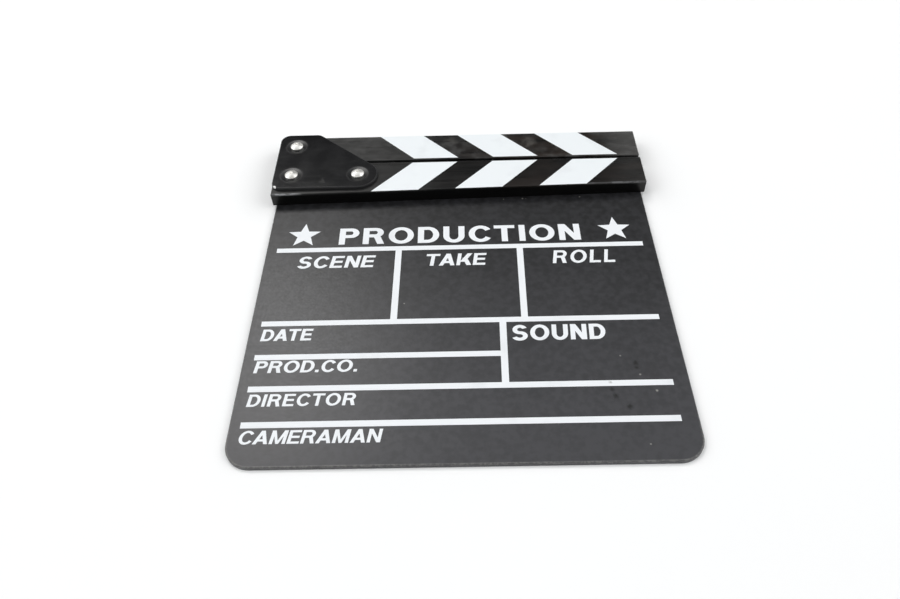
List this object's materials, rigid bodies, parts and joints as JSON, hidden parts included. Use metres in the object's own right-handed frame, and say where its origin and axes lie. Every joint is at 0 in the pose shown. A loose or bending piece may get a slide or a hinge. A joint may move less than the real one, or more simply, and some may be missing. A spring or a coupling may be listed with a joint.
{
  "type": "clapperboard",
  "caption": "Small wooden film clapperboard: a thin slate board with a fixed clap stick and a second stick that swings on a screwed hinge plate.",
  "frame": {"origin": "below the middle of the whole object, on the surface that it lies on", "axes": "+X along the sticks from the hinge end to the free end, +Y from the board's front edge towards the sticks, +Z out of the slate's written face"},
  "size_m": [0.2038, 0.2068, 0.0134],
  "materials": {
    "slate_paint": "matt slate-black paint on hardboard, white printing",
    "stick_paint": "satin black paint with white diagonal stripes",
    "plate_enamel": "gloss black enamel",
    "bright_nickel": "bright nickel plate",
    "zinc_steel": "zinc plate"
  },
  "bodies": {
    "slate": {"slate_board": "slate_paint", "fixed_clap_stick": "stick_paint", "hinge_plate": "plate_enamel", "plate_screw_left": "bright_nickel", "plate_screw_right": "bright_nickel", "board_screw_left": "zinc_steel", "board_screw_middle": "zinc_steel", "board_screw_right": "zinc_steel"},
    "clap_arm": {"moving_clap_stick": "stick_paint", "pivot_screw": "bright_nickel", "pivot_spacer_washer": "zinc_steel", "pivot_back_washer": "zinc_steel", "pivot_lock_nut": "zinc_steel"}
  },
  "joints": [
    {"name": "clap_swing", "type": "hinge", "parent": "slate", "child": "clap_arm", "pos_m": [-0.0919, 0.0926, 0.0104], "axis": [0, 0, 1], "range_deg": [0, 105]}
  ]
}
